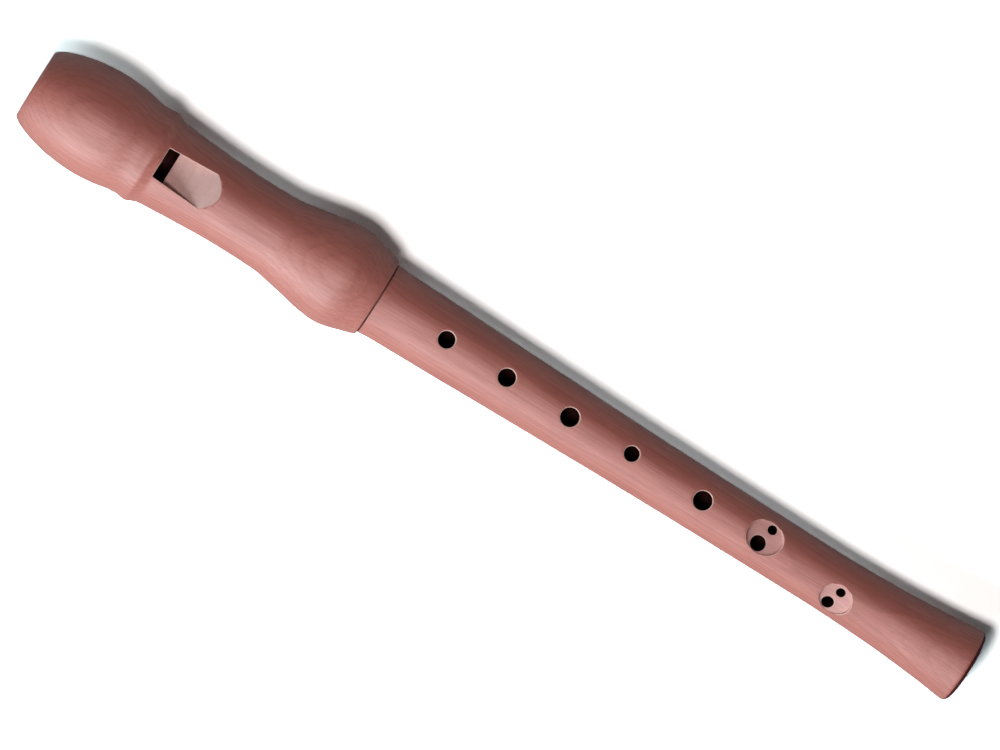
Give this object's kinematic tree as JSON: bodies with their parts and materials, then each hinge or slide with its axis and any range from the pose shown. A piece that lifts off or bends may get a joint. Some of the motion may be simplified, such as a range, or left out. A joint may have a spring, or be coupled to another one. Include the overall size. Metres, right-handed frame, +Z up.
{
  "type": "recorder",
  "caption": "Small wooden recorder in two joints, with a beak, block and windway, sloping labium, finger holes with double low holes, a thumb hole and a flared foot.",
  "frame": {"origin": "under the middle of the instrument's length, on the level of its lowest turning", "axes": "+X along the bore from the beak to the foot, +Z up through the finger holes and the window, so +Y is the player's left"},
  "size_m": [0.3272, 0.0332, 0.0325],
  "materials": {
    "pearwood": "reddish stain under a satin varnish",
    "cedar": "bare, fine grained",
    "cork": "bare sheet cork"
  },
  "bodies": {
    "head": {"head_joint": "pearwood"},
    "block": {"block": "cedar"},
    "cork": {"tenon_cork": "cork"},
    "body": {"body_joint": "pearwood"}
  },
  "joints": [
    {"name": "block_slide", "type": "slide", "parent": "head", "child": "block", "axis": [-1, 0, 0], "range_m": [0, 0.05]},
    {"name": "tuning_slide", "type": "slide", "parent": "head", "child": "cork", "axis": [1, 0, 0], "range_m": [0, 0.026]},
    {"name": "body_turn", "type": "hinge", "parent": "cork", "child": "body", "pos_m": [0, 0, 0.0159], "axis": [1, 0, 0], "continuous": true}
  ]
}
